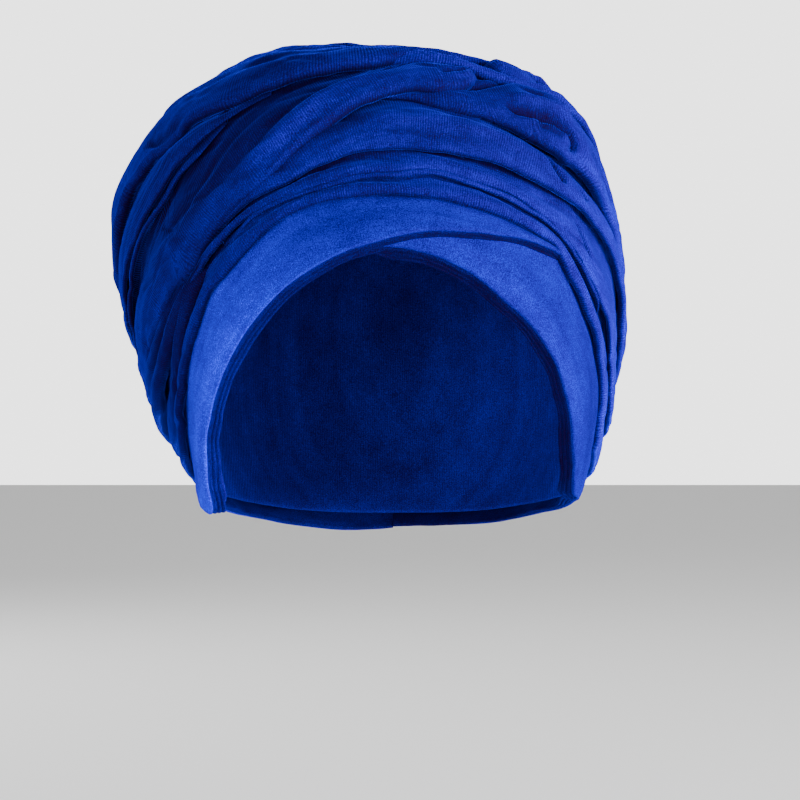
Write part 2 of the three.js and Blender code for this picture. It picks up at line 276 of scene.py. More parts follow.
# How a strip lies, in millimetres and degrees, for all pieces alike
drape = {
    "crowding": 1.15,  # the rows of a face lie closer at its foot
    "leastFace": 0.6,
    "leastSeen": 0.8,
    "fallEarly": 0.8,
    "longWave": 34,
    "longSlant": 25,
    "shortWave": 12,
    "shortSlant": 60,
    "shortShare": 0.35,
    "rollLeast": 0.08,  # the share of its size that a faded roll keeps
    "rollUneven": 0.12,
    "rollWave": 25,
    "outerLayer": 1.15,
    "innerLayers": 6,  # points round each layer of a hem
    "layerPush": 0.5,
    "layerWave": 20,
    "closing": 0.25,  # the share of the inner side where the hem thins out
}

# Painted light and shade on the velvet's colour, 1 being the plain dye, with widths in millimetres
shading = {
    "footWidth": 2.0,
    "paintedFlankSet": 5.0,
    "paintedTopShadeWidth": 1.9,
    "crease": 0.35,
    "darkest": 0.32,
    "lightest": 1.35,
    "edge": 0.62,
    "edgeWidth": 1.5,
    "soft": 0.15,
    "softWidth": 5.0,
    "edgeFade": 6,
    "underRoll": 0.8,
    "inner": 0.2,
}


def fadeIn(turn, run, fade):
    # 1 along the strip and 0 at an end that fades out
    out = np.ones(len(turn))
    if run is not None and fade[0]:
        out = out * smoothStep(run[0], run[0] + fade[0], turn)
    if run is not None and fade[1]:
        out = out * (1 - smoothStep(run[1] - fade[1], run[1], turn))
    return out


def rollFoot(outer, footRise, turn, out, roll, layers, step, seed):
    # the rounded foot, in as many small folds as there are layers
    rollSize = roll * (drape["rollLeast"] + (1 - drape["rollLeast"]) * out)
    rollSize = rollSize * (1 + drape["rollUneven"] * wander(turn, seed + 3, drape["rollWave"]))
    step = alongRun(step, turn)
    rises, radii = [], []
    depth = 0.0
    for layer in range(layers):
        size = rollSize / layers * (drape["outerLayer"] if layer == 0 else 1.0)
        push = drape["layerPush"] * wander(turn, seed + 11 + layer, drape["layerWave"]) * (layers > 1)
        angles = np.linspace(90, -90, quality["roll"] if layers == 1 else drape["innerLayers"])
        for angle in np.radians(angles[(0 if layer == 0 else 1):]):
            radii.append(outer[:, 0] - depth - size + size * np.sin(angle))
            low = size * np.cos(angle) + step * layer + 0.3 * push * np.cos(angle) ** 2
            rises.append(footRise - np.degrees(low * (0.3 + 0.7 * out) / outer[:, 0]))
        depth = depth + 2 * size
    return np.stack(rises, 1)[:, 1:], np.stack(radii, 1)[:, 1:], depth


def edgeShadows(under, turn, rise, radius):
    # painted shadow just below the edge of a piece that lies over this one
    light = np.ones_like(radius)
    for edge, first, last in under:
        below = np.maximum(np.radians(edge(np.clip(turn, first, last))[:, None] - rise) * radius, 0)
        shadow = shading["edge"] * bell(below, shading["edgeWidth"])
        shadow = shadow + shading["soft"] * bell(below, shading["softWidth"])
        ends = smoothStep(first, first + shading["edgeFade"], turn)
        ends = ends * (1 - smoothStep(last - shading["edgeFade"], last, turn))
        light = light * (1 - shadow * ends[:, None])
    return light


def runMap(loops, ring):
    # distances along and across the strip, for its ribs
    middle = loops[:, quality["face"] // 2]
    distance = np.concatenate([[0], np.cumsum(np.linalg.norm(np.diff(middle, axis=0), axis=1))])
    ahead = np.roll(middle, -1, 0) - np.roll(middle, 1, 0) if ring else np.gradient(middle, axis=0)
    ahead /= np.linalg.norm(ahead, axis=1)[:, None]
    along = distance[:, None] + ((loops - middle[:, None]) * ahead[:, None]).sum(-1)
    sideways = np.cumsum(np.linalg.norm(np.diff(loops, axis=1, prepend=loops[:, :1]), axis=-1), axis=1)
    return along, sideways


# Its last arguments set painted light and shade on the strip's colour: a highlight at the foot, a lit flank,
# shade under the top, and lighter or darker stretches along the run
def addStrip(
    cloth, foot, top, base, run=None, lift=1.5, sink=2.5, roll=1.6, thick=1.8, fade=(0, 0), bow=0.0,
    seed=1, uneven=0.5, lines=(), layers=1, step=0.9, tuck=3.0, drop=3.0, paintedTopShade=0.8, paintedFootHighlight=0.35, under=(),
    wrinkle=0.6, paintedNapLight=1.0, paintedFlankLight=0.3,
):
    # one strip of folded cloth: a rounded foot, a face that falls back towards the top, and an inner side
    turn = stationTurns(run)
    footRise = foot(turn)
    topRise = np.maximum(top(turn) + tuck, footRise + drape["leastFace"])
    span = (topRise - footRise)[:, None]
    faceShare = np.linspace(0, 1, quality["face"]) ** drape["crowding"]
    rise = footRise[:, None] + span * faceShare[None]
    turnGrid = np.broadcast_to(turn[:, None], rise.shape)
    out = fadeIn(turn, run, fade)
    visible = np.clip(faceShare * span / np.maximum(span - tuck, drape["leastSeen"]), 0, 2)
    fall = smoothStep(0.0, 1.0, visible ** drape["fallEarly"])
    lift, bow, roll = (alongRun(value, turn) for value in (lift, bow, roll))
    height = lift[:, None] * (1 - fall) - sink * fall ** 2
    height = height + bow[:, None] * np.sin(np.pi * np.clip(visible, 0, 1))
    height = height + uneven * wander(turnGrid + drape["longSlant"] * visible, seed, drape["longWave"])
    shortWaves = wander(turnGrid - drape["shortSlant"] * visible, seed + 7, drape["shortWave"])
    height = height + drape["shortShare"] * uneven * shortWaves
    radius = base(turnGrid, rise)
    folded = foldLines(lines, turnGrid, rise, radius) + wrinkle * wrinkles(turnGrid, rise, seed + 17)
    height = (height + folded) * out[:, None] - drop * (1 - out)[:, None]
    outer = radius + height
    rollRises, rollRadii, depth = rollFoot(outer, footRise, turn, out, roll, layers, step, seed)
    # the inner side, from the roll back up to the top
    underShare = np.linspace(0, 1, quality["under"] + 1)[1:]
    underRise = footRise[:, None] + span * underShare[None]
    outerThere = np.stack([np.interp(underShare, faceShare, row) for row in outer])
    closing = 1 - smoothStep(0, drape["closing"], underShare)
    underRadius = outerThere - thick - (depth[:, None] - thick) * closing[None]
    # painted light and shade: a highlight along the foot, a lit flank above it, and painted shade under the
    # pass that tucks over the top, in the creases and below the edges of what lies over
    fromFoot = np.radians(rise - footRise[:, None]) * radius
    fromTop = np.maximum(np.radians(topRise[:, None] - tuck - rise) * radius, 0)
    faceShade = 1 + paintedFootHighlight * bell(fromFoot, shading["footWidth"])
    faceShade = faceShade + paintedFlankLight * bell(fromFoot - shading["paintedFlankSet"], shading["paintedFlankSet"])
    faceShade = faceShade - paintedTopShade * bell(fromTop, shading["paintedTopShadeWidth"])
    faceShade = faceShade * np.clip(1 + shading["crease"] * folded, shading["darkest"], shading["lightest"])
    faceShade = faceShade * edgeShadows(under, turn, rise, radius)
    # the roll is painted with a highlight on its top that turns to painted shade underneath, and the inner
    # side is painted dark
    turning = smoothStep(0.1, 0.75 if layers == 1 else 0.3, np.linspace(0, 1, rollRises.shape[1]))
    rollShade = 1 + paintedFootHighlight - (paintedFootHighlight + shading["underRoll"]) * turning
    shade = np.concatenate([
        faceShade[:, ::-1],
        np.broadcast_to(rollShade, rollRises.shape),
        np.full(underRise.shape, shading["inner"]),
    ], 1)
    rises = np.concatenate([rise[:, ::-1], rollRises, underRise], 1)
    radii = np.concatenate([outer[:, ::-1], rollRadii, underRadius], 1)
    if rises.shape[1] % 2:
        rises, radii, shade = rises[:, 1:], radii[:, 1:], shade[:, 1:]
    loops = place(np.broadcast_to(turn[:, None], rises.shape), rises, radii)
    along, sideways = runMap(loops, run is None)
    # painted light and shade along the run: stretches are made lighter or darker to stand in for how the
    # light catches the nap
    cloth.addLoops(loops, along, sideways, run is None, shade * alongRun(paintedNapLight, turn)[:, None])


def column(rows, number, ring=True):
    if ring:
        return lambda turn: ringColumn(rows, number, turn)
    xs = [row[0] for row in rows]
    return lambda turn: curveThrough(xs, [row[number] for row in rows], turn)


# Velvet
velvet = {
    "base": (0.0060, 0.0040, 0.150),
    "deep": (0.0038, 0.0010, 0.050),
    "lit": (0.0070, 0.0120, 0.370),
    "undertone": (0.0032, 0.0002, 0.0),  # the dye's violet, which shows where the nap is dark
    "spread": 0.13,
    "sheen": 0.85,
    "sheenRough": 0.30,
    "sheenTint": (0.02, 0.05, 1.0, 1.0),
    "rough": 0.62,
    "patchScale": 110,
    "grainScale": 2700,
    "streak": (0.018, 0.16, 1.0),  # along and across the run
    "rib": 0.9,  # from one rib of the knit to the next, in millimetres
    "ribWaver": 2.0,
    "ribDark": 0.45,
    "bump": 0.35,
    "bumpDepth": 0.0003,
}


def dyedWithPaintedLight(colour, paintedBrightness, warm):
    return (colour[0] * paintedBrightness * warm, colour[1] * paintedBrightness, colour[2] * paintedBrightness, 1)


def addNode(nodes, kind, operation=None, **values):
    # a shader node, with its inputs set by name; input1 is the second input of a sum
    node = nodes.new("ShaderNode" + kind)
    if operation:
        node.operation = operation
    for socket, value in values.items():
        node.inputs[1 if socket == "input1" else socket.replace("_", " ")].default_value = value
    return node


def makeVelvet(name, ribDepth, mottle, paintedBrightness=1.0, warm=1.0, sheen=1.0):
    material = bpy.data.materials.new(name)
    material.use_nodes = True
    nodes, links = material.node_tree.nodes, material.node_tree.links
    shader = nodes["Principled BSDF"]
    for socket, value in (
        ("Roughness", velvet["rough"]),
        ("Sheen Weight", velvet["sheen"] * sheen),
        ("Sheen Roughness", velvet["sheenRough"]),
        ("Sheen Tint", velvet["sheenTint"]),
        ("Specular IOR Level", 0.0),
    ):
        shader.inputs[socket].default_value = value
    run = nodes.new("ShaderNodeUVMap")
    run.uv_map = "run"
    split = addNode(nodes, "SeparateXYZ")
    links.new(run.outputs["UV"], split.inputs["Vector"])
    solid = addNode(nodes, "TexCoord")
    # soft patches where the nap has been brushed one way or the other
    patches = addNode(nodes, "TexNoise", Scale=velvet["patchScale"], Detail=6, Roughness=0.65)
    links.new(solid.outputs["Object"], patches.inputs["Vector"])
    grain = addNode(nodes, "TexNoise", Scale=velvet["grainScale"], Detail=2)
    links.new(solid.outputs["Object"], grain.inputs["Vector"])
    # streaks along the run
    stretched = addNode(nodes, "VectorMath", "MULTIPLY", input1=velvet["streak"])
    links.new(run.outputs["UV"], stretched.inputs[0])
    streaks = addNode(nodes, "TexNoise", Scale=1, Detail=4, Roughness=0.6)
    links.new(stretched.outputs["Vector"], streaks.inputs["Vector"])
    both = addNode(nodes, "Math", "ADD")
    links.new(patches.outputs["Fac"], both.inputs[0])
    links.new(streaks.outputs["Fac"], both.inputs[1])
    softer = addNode(nodes, "Math", "MULTIPLY", input1=mottle / 2)
    links.new(both.outputs[0], softer.inputs[0])
    mixed = addNode(nodes, "Math", "MULTIPLY_ADD", input1=1 - mottle)
    links.new(grain.outputs["Fac"], mixed.inputs[0])
    links.new(softer.outputs[0], mixed.inputs[2])
    ramp = nodes.new("ShaderNodeValToRGB")
    ramp.color_ramp.elements[0].position = 0.5 - velvet["spread"]
    ramp.color_ramp.elements[0].color = dyedWithPaintedLight(velvet["deep"], paintedBrightness, warm)
    ramp.color_ramp.elements[1].position = 0.5 + velvet["spread"]
    ramp.color_ramp.elements[1].color = dyedWithPaintedLight(velvet["lit"], paintedBrightness, warm)
    middle = ramp.color_ramp.elements.new(0.5)
    middle.color = dyedWithPaintedLight(velvet["base"], paintedBrightness, warm)
    links.new(mixed.outputs[0], ramp.inputs["Fac"])
    # the ribs of the knit, slightly wavering, with painted shade in the grooves between them
    bend = addNode(nodes, "TexNoise", Scale=60, Detail=1)
    links.new(solid.outputs["Object"], bend.inputs["Vector"])
    shifted = addNode(nodes, "Math", "MULTIPLY_ADD", input1=velvet["ribWaver"])
    links.new(bend.outputs["Fac"], shifted.inputs[0])
    links.new(split.outputs["X"], shifted.inputs[2])
    scaled = addNode(nodes, "Math", "MULTIPLY", input1=2 * np.pi / velvet["rib"])
    links.new(shifted.outputs[0], scaled.inputs[0])
    wave = addNode(nodes, "Math", "SINE")
    links.new(scaled.outputs[0], wave.inputs[0])
    ribDarkest = 1 - velvet["ribDark"] * ribDepth
    shade = addNode(nodes, "MapRange", From_Min=-1, From_Max=1, To_Min=ribDarkest, To_Max=1)
    links.new(wave.outputs[0], shade.inputs["Value"])
    # the painted light and shade stored on the mesh, together with the ribs' painted groove shade, scales
    # the dye colour
    paintedShadeNode = nodes.new("ShaderNodeAttribute")
    paintedShadeNode.attribute_name = "shade"
    darker = addNode(nodes, "Math", "MULTIPLY")
    links.new(shade.outputs["Result"], darker.inputs[0])
    links.new(paintedShadeNode.outputs["Fac"], darker.inputs[1])
    tinted = addNode(nodes, "VectorMath", "SCALE")
    links.new(ramp.outputs["Color"], tinted.inputs[0])
    links.new(darker.outputs[0], tinted.inputs["Scale"])
    undertone = addNode(nodes, "VectorMath", "ADD", input1=velvet["undertone"])
    links.new(tinted.outputs["Vector"], undertone.inputs[0])
    links.new(undertone.outputs["Vector"], shader.inputs["Base Color"])
    height = addNode(nodes, "Math", "MULTIPLY_ADD", input1=ribDepth)
    links.new(wave.outputs[0], height.inputs[0])
    links.new(grain.outputs["Fac"], height.inputs[2])
    bump = addNode(nodes, "Bump", Strength=velvet["bump"], Distance=velvet["bumpDepth"])
    links.new(height.outputs[0], bump.inputs["Height"])
    links.new(bump.outputs["Normal"], shader.inputs["Normal"])
    return material


# the bands' copy of the velvet is painted lighter and the wraps' copy painted darker, as lit and shaded
# copies of one velvet, each also with its own warmth and sheen
bandVelvet = makeVelvet("bandVelvet", 0.3, 0.36, 1.8, warm=0.5, sheen=0.35)
wrapVelvet = makeVelvet("wrapVelvet", 1.0, 0.4, 0.86, warm=0.9)
capVelvet = makeVelvet("capVelvet", 0.4, 0.35)

# Edges that several pieces share, as heights over the leaning middle plane at turns round the head
openRows = [
    # turn, foot of the bands
    (-150, -11), (-120, -22), (-105, -29), (-90, -39), (-82, -40.5), (-75, -37), (-64.5, -29.5),
    (-55, -23.5), (-47, -19), (-38.5, -14), (-29.5, -9), (-20.5, -4.5), (-9.5, -0.5), (-2, 1), (5.5, 0),
    (11.5, -1.5), (18.5, -4), (24, -7), (31, -10), (37.5, -13.5), (44, -17), (49.5, -21), (55.5, -25),
    (62.5, -29.5), (70, -33), (78, -35.5), (90, -35), (105, -29), (120, -22), (150, -11), (180, -6),
]
overRows = [
    # turn, foot of the band that crosses over; left of the forehead it is the opening's own edge
    (-180, -6), (-150, -11), (-120, -22), (-105, -29), (-90, -39), (-82, -40.5), (-75, -37), (-64.5, -29.5),
    (-55, -23.5), (-47, -19), (-38.5, -14), (-29.5, -9), (-20.5, -4.5), (-9.5, -0.5), (-2, 1.5), (4, 3),
    (10, 4), (20.5, 5.5), (28, 7), (33.5, 7.5), (41, 8), (52.5, 9),
]
lowRows = [
    # turn, foot of the lowest pass, its double pleat, foot of the next pass
    (-150, -4, 4, 12), (-120, -15, -5, 6), (-105, -18, -8, 2), (-90, -20, -11, -2), (-75, -15.5, -7.5, 1),
    (-60, -7, 0.5, 7), (-52, -3, 4.5, 9), (-45, 1.5, 7.5, 11), (-38, 3.5, 10, 13), (-30, 7, 12.5, 15.5),
    (-22, 10.5, 14, 17), (-15, 12, 15, 19.5), (-7, 12.5, 16.5, 21), (0, 12.5, 17, 22), (8, 12.5, 18, 22),
    (16, 12, 17, 22), (24, 11, 16, 21.5), (32, 10, 14.5, 21), (38, 9, 13, 21), (44, 5, 11, 21),
    (52, 0.5, 7.5, 20.5), (60, -3, 5, 20), (68, -8.5, 3, 19), (75, -13.5, -2, 17), (82, -18, -7, 14),
    (90, -20, -9, 11), (105, -18, -7, 8), (120, -14, -4, 7), (150, -4, 3, 11), (180, 0, 6, 14),
]
midRows = [
    # turn, short pleat, soft fold, foot of what lies over
    (-150, 16, 20, 28), (-120, 10, 14, 22), (-90, 2, 6, 14), (-75, 4, 8, 14), (-60, 9, 12, 16),
    (-45, 13, 15, 18), (-30, 17, 20, 24), (-15, 21.8, 25, 29), (0, 23.5, 26.8, 34), (15, 23.5, 27.3, 34),
    (30, 22.5, 26.3, 31), (45, 22, 25, 29), (60, 21.5, 24, 28), (75, 19.5, 22, 26), (90, 14, 17, 22),
    (120, 9, 12, 20), (150, 13, 17, 24), (180, 16, 20, 28),
]
rightRows = [
    # turn, foot, top
    (4, 33, 40), (12, 32, 42), (20, 31.5, 44), (29, 30.5, 47), (34, 30, 48), (42, 29, 50), (50, 28, 51),
    (57, 28, 52), (66, 27, 52), (75, 25, 51), (90, 21, 50), (105, 18.5, 48), (120, 17.5, 46), (150, 20, 43),
    (180, 25, 41), (212, 32, 40),
]
leftRows = [
    # turn, foot, first lobe, second lobe, top
    (-195, 6, 12, 18, 24), (-180, 3, 10, 16, 23), (-150, -1, 6, 12, 18), (-120, -6, 0, 7, 13),
    (-105, -11, -4, 3, 9), (-90, -13, -6, 0, 5), (-75, -10, -4, 1, 5), (-60, -1, 1.5, 5, 8),
    (-52, 3.4, 5, 7, 9), (-42, 8, 9, 11, 13),
]
twistRows = [
    # turn, foot, lower fold, second fold, upper fold, top
    (-204, 32, 34, 36, 38, 40), (-180, 24, 28, 31, 35, 42), (-150, 15, 20, 25, 31, 50),
    (-120, 6, 12, 18, 27, 54), (-105, 2, 10, 15, 25, 56), (-90, 1, 11, 13.5, 24.5, 57),
    (-82, 2, 14, 16.5, 25.5, 57), (-73.5, 4, 17, 19, 28, 57), (-64.5, 5, 20, 21.5, 31, 57),
    (-56.5, 8, 22, 24, 33, 57), (-49, 8.5, 25, 27, 34, 57), (-42, 12, 27, 29, 34.5, 56),
    (-34, 15.5, 31.5, 32, 34.5, 55), (-27, 18, 34, 34.5, 35.5, 54), (-18.5, 23, 36, 36.5, 37, 53),
    (-11, 27.5, 38, 38.5, 39, 52), (-4, 31, 40.5, 40.5, 41, 51), (3.5, 34, 44, 44.5, 44.5, 50),
    (10, 35, 45.5, 46, 46, 50), (16.5, 37.5, 46, 46, 46.5, 50), (22, 43.5, 46.5, 47, 47, 49.5),
]
crownRows = [
    # turn, foot, fold, rim, inner end
    (-135, 44, 52, 58, 66), (-90, 48, 57, 62, 69), (-45, 48, 57, 62, 70), (0, 43, 50, 58, 68),
    (45, 41, 49, 57, 66), (90, 38, 46, 54, 62), (135, 31, 40, 50, 59), (180, 30, 40, 49, 58),
]

opening = column(openRows, 1)
overFoot = column(overRows, 1, ring=False)
lowFoot, lowPleat, midFoot = (column(lowRows, number) for number in (1, 2, 3))
midPleat, midFold, midTop = (column(midRows, number) for number in (1, 2, 3))
rightFoot, rightTop = (column(rightRows, number, ring=False) for number in (1, 2))
leftFoot, leftLobe, leftLobeTwo, leftTop = (column(leftRows, number, ring=False) for number in (1, 2, 3, 4))
twistFoot, twistLow, twistSecond, twistUpper, twistTop = (
    column(twistRows, number, ring=False) for number in (1, 2, 3, 4, 5)
)
crownFoot, crownFold, crownRim, crownEnd = (column(crownRows, number) for number in (1, 2, 3, 4))


def above(edge, extra):
    return lambda turn: edge(turn) + extra


# The two bands at the opening
hem = {"roll": 2.7, "layers": 4, "thick": 3.0, "tuck": 5.0, "paintedFootHighlight": 0.08, "paintedTopShade": 0.7, "wrinkle": 0.0}
lowerBand = {
    "run": (-8, 180), "fade": (8, 0), "lift": [(0, -2.6), (60, -1.5), (120, -0.5)], "sink": 2, "seed": 21,
    "uneven": 0.25, "drop": 1.5, "paintedNapLight": [(0, 0.75), (50, 0.65), (75, 0.5), (100, 0.7)],
}
upperBand = {
    "run": (-180, 48), "fade": (0, 12), "sink": 1.2, "seed": 22, "uneven": 0.3, "drop": 2.5,
    "lift": [(-130, 0.5), (-100, 2.6), (-76, 2.6), (-58, 0), (-10, 0.6), (10, 1.8), (40, 1.2)],
    "step": [(-30, 0.9), (10, 0.5)],
    "paintedNapLight": [(-90, 1.6), (-40, 1.9), (-10, 0.9), (10, 0.7), (48, 0.6)],
}
bandRight = ClothMesh()
addStrip(bandRight, opening, lowFoot, formRadius, **hem, **lowerBand)
bandRightPiece = bandRight.build("bandRight", bandVelvet, "front_band_right")
bandLeft = ClothMesh()
addStrip(bandLeft, overFoot, lowFoot, formRadius, **hem, **upperBand)
bandLeftPiece = bandLeft.build("bandLeft", bandVelvet, "front_band_left")

# The lowest pass, with a thin double pleat along its middle
lowPass = {
    "both": {
        "under": [(leftFoot, -190, -42), (twistFoot, -196, -18)], "uneven": 0.5, "bow": 0.4,
        "paintedNapLight": [
            (-110, 0.4), (-62, 0.45), (-40, 0.95), (25, 0.95), (60, 1.8), (80, 2.4), (110, 1.9), (150, 1.0),
        ],
    },
    "lower": {
        "lift": [(-100, 3), (-78, 3), (-60, 1.8), (60, 1.8), (82, 0.2), (120, 1.2), (180, 1.8)],
        "roll": 1.5, "seed": 31, "tuck": 5,
    },
    "pleatHalf": 1.0,
    "pleat": {
        "run": (-40, 64), "fade": (12, 8), "lift": 1.1, "roll": 0.7, "thick": 1.2, "seed": 32, "uneven": 0.2,
        "tuck": 2,
    },
    "upper": {
        "lift": 1.5, "roll": 0.9, "seed": 33,
        "lines": [{"path": [(44.5, 18.5), (47, 15.5), (50.5, 11)], "height": -2.4, "width": 1.3}],
    },
}
lowWrap = ClothMesh()
addStrip(lowWrap, lowFoot, lowPleat, formRadius, **lowPass["both"], **lowPass["lower"])
pleatEdges = above(lowPleat, -lowPass["pleatHalf"]), above(lowPleat, lowPass["pleatHalf"])
addStrip(lowWrap, *pleatEdges, formRadius, **lowPass["pleat"])
addStrip(lowWrap, lowPleat, midFoot, formRadius, **lowPass["both"], **lowPass["upper"])
lowPiece = lowWrap.build("lowWrap", wrapVelvet, "low_wrap")

# The middle pass, broad and smooth in front, with a soft ridge and a short pleat
middlePass = {
    "broad": {
        "lift": 1.8, "roll": 1.4, "seed": 41, "uneven": 0.5, "bow": 0.9, "tuck": 6, "sink": 4,
        "under": [(twistFoot, -120, 14), (rightFoot, 8, 200)],
        "paintedNapLight": [
            (-100, 0.6), (-20, 1.0), (5, 0.85), (35, 0.85), (60, 1.7), (80, 2.0), (110, 1.7), (150, 1.0),
        ],
        "lines": [
            {"path": [(-14, 26.6), (-2, 26.8), (10, 27.0), (22, 26.8), (34, 26.0), (46, 25.0)],
             "height": 0.9, "width": 4.0},
            {"path": [(-12, 24.3), (2, 24.4), (16, 24.2), (28, 23.8)], "height": -0.5, "width": 2.5},
            {"path": [(34.4, 27.5), (35.7, 25.8), (37.0, 24.0), (40, 22.4)], "height": -2.8, "width": 1.2},
            {"path": [(44.5, 24.5), (45.6, 23.4), (47.5, 22.2)], "height": -2.2, "width": 1.2},
            {"path": [(52, 25), (60, 24), (68, 21.5)], "height": -0.9, "width": 1.5},
        ],
    },
    "pleat": {
        "run": (-24, 6), "fade": (8, 8), "lift": 1.5, "roll": 0.7, "thick": 1.2, "seed": 42, "uneven": 0.2,
        "under": [(twistFoot, -120, 14)],
    },
}
midWrap = ClothMesh()
addStrip(midWrap, midFoot, midTop, formRadius, **middlePass["broad"])
addStrip(midWrap, midPleat, midFold, formRadius, **middlePass["pleat"])
midPiece = midWrap.build("midWrap", wrapVelvet, "mid_wrap")

# The pass low on the left, in three lobes
lobes = {
    "all": {"fade": (20, 10), "uneven": 0.35, "under": [(twistFoot, -190, -46)], "paintedNapLight": 0.33},
    "each": [
        (leftFoot, leftLobe, {
            "run": (-195, -42), "lift": [(-100, 4.2), (-78, 2.2), (-42, 2.2)], "roll": 2.8, "seed": 51,
            "bow": 1.5, "sink": 1.0,
        }),
        (leftLobe, leftLobeTwo, {
            "run": (-195, -44), "lift": [(-82, 7.5), (-64, 4.4), (-50, 1.6)], "roll": 2.4, "seed": 52,
            "bow": 1.2, "sink": 1.0,
        }),
        (leftLobeTwo, leftTop, {
            "run": (-195, -42), "lift": [(-82, 6.6), (-66, 3.4), (-54, 0.8)], "roll": 2.0, "seed": 53,
            "bow": 0.8, "tuck": 6, "sink": 4,
        }),
    ],
}
leftWrap = ClothMesh()
for foot, top, values in lobes["each"]:
    addStrip(leftWrap, foot, top, formRadius, **lobes["all"], **values)
leftPiece = leftWrap.build("leftWrap", wrapVelvet, "left_wrap")

# The ring of cloth round the crown
crownRing = {
    "all": {"roll": 2.0, "uneven": 0.8},
    "outer": {"lift": [(0, 1.5), (25, 4), (42, 8), (58, 7), (90, 1.5)], "seed": 61, "bow": 1.0, "paintedNapLight": 1.1},
    "fold": {"lift": [(0, 1.8), (25, 3.5), (42, 7), (58, 6), (90, 1.8)], "seed": 62, "bow": 1.0, "paintedNapLight": 1.1},
    "inner": {"lift": 1.8, "seed": 63, "bow": 0.5, "tuck": 2, "sink": 0},
    "capGap": 1.5,
}


def crownSlope(turn, rise):
    # the ring's inner side falls back to the cap
    start = ringColumn(crownRows, 3, turn)
    end = ringColumn(crownRows, 4, turn)
    share = smoothStep(0, 1, (rise - start) / (end - start))
    onCap = capInside(turn, rise) + form["wall"] + crownRing["capGap"]
    return formRadius(turn, rise) * (1 - share) + onCap * share


crownWrap = ClothMesh()
addStrip(crownWrap, crownFoot, crownFold, formRadius, **crownRing["all"], **crownRing["outer"])
addStrip(crownWrap, crownFold, crownRim, formRadius, **crownRing["all"], **crownRing["fold"])
addStrip(crownWrap, crownRim, crownEnd, crownSlope, **crownRing["all"], **crownRing["inner"])
crownPiece = crownWrap.build("crownWrap", wrapVelvet, "crown_wrap")

# The pass that comes down over the right, with a lobe over a deep pocket
rightPass = {
    "run": (-8, 212), "fade": (20, 20), "roll": 2.4, "seed": 71, "uneven": 0.8, "tuck": 2, "sink": 2,
    "lift": [(-8, 1.0), (20, 1.4), (34, 2.6), (50, 3.6), (65, 2.0), (90, 2.0)],
    "bow": [(-8, 0), (16, 0.2), (28, 4.4), (40, 6.6), (50, 5.0), (62, 2.6), (85, 1.4), (212, 1.8)],
    "paintedNapLight": [(0, 0.65), (34, 0.65), (42, 1.3), (60, 1.9), (85, 2.0), (110, 1.7), (150, 1.0)],
    "lines": [
        {"path": [(23, 33.2), (27, 32.8), (32, 33), (36.5, 33.2), (40.2, 32.4), (42, 31), (41.4, 29.8),
                  (39, 29.2)],
         "height": -4.4, "width": 1.25, "fade": 0.2},
        {"path": [(31, 31.6), (35, 31.4), (39.5, 31)], "height": -1.4, "width": 1.8},
        {"path": [(24, 35.0), (30, 35.2), (37, 35.6), (43, 35.6)], "height": 2.4, "width": 2.0},
        {"path": [(13, 35.8), (18, 37.0), (24, 39.2), (31, 43.6)], "height": -2.6, "width": 1.5},
        {"path": [(27, 38.8), (33, 37.8), (42, 37.2), (52, 36.5)], "height": -2.2, "width": 1.7},
        {"path": [(30, 45), (42, 43), (56, 40), (74, 35)], "height": -2.2, "width": 2.0},
        {"path": [(46, 31.6), (56, 31.0), (66, 30)], "height": -1.6, "width": 1.8},
        {"path": [(90, 30), (120, 26), (150, 27), (185, 32)], "height": -2.0, "width": 2.6},
        {"path": [(80, 42), (115, 38), (150, 35), (185, 37)], "height": -1.8, "width": 2.6},
    ],
}
rightWrap = ClothMesh()
addStrip(rightWrap, rightFoot, rightTop, formRadius, **rightPass)
rightPiece = rightWrap.build("rightWrap", wrapVelvet, "right_wrap")

# The twisted bundle over the left, its tip tucked in behind the knot
leafLines = [
    {"path": [(-33, 19.6), (-29, 20.8), (-23.3, 22.6), (-18.8, 25.4), (-14.6, 29.4), (-9, 32.6), (0, 36)],
     "height": 1.3, "width": 3.0},
    {"path": [(-12, 32.5), (-6, 35), (-1.9, 36.8), (0.9, 38.9), (4, 41), (7.6, 42.8), (12, 43.8)],
     "height": -1.8, "width": 1.2},
    {"path": [(-46, 16), (-36, 19.5), (-27, 24), (-19, 29.5), (-12, 34.5), (-6, 38)],
     "height": -1.0, "width": 2.0},
    {"path": [(-60, 14), (-50, 18), (-40, 22.5), (-31, 28), (-22, 33)], "height": -0.8, "width": 2.4},
    {"path": [(9, 36.8), (13.4, 38.2), (17, 40)], "height": -1.6, "width": 1.2},
    {"path": [(-52, 15.6), (-55.7, 18.2), (-58, 19.5)], "height": -0.8, "width": 0.8},
    {"path": [(-50, 12.6), (-55.7, 14.6), (-66, 13)], "height": 0.7, "width": 2.0},
    {"path": [(-170, 24), (-140, 17), (-110, 10), (-88, 6.5)], "height": -1.6, "width": 2.4},
]
upperLines = [
    {"path": [(-62, 35), (-57.3, 33.6), (-51, 33.2), (-46, 33.6)], "height": -2.6, "width": 1.8},
    {"path": [(-70, 40), (-52, 41), (-36, 41), (-20, 41.5), (-6, 43.5)], "height": -0.9, "width": 2.2},
    {"path": [(-80, 48), (-55, 49), (-30, 48), (-8, 48)], "height": -0.7, "width": 3.0},
    {"path": [(-170, 36), (-140, 34), (-110, 33), (-90, 33)], "height": -1.8, "width": 2.6},
    {"path": [(-170, 44), (-140, 43), (-105, 42)], "height": -1.4, "width": 2.6},
]
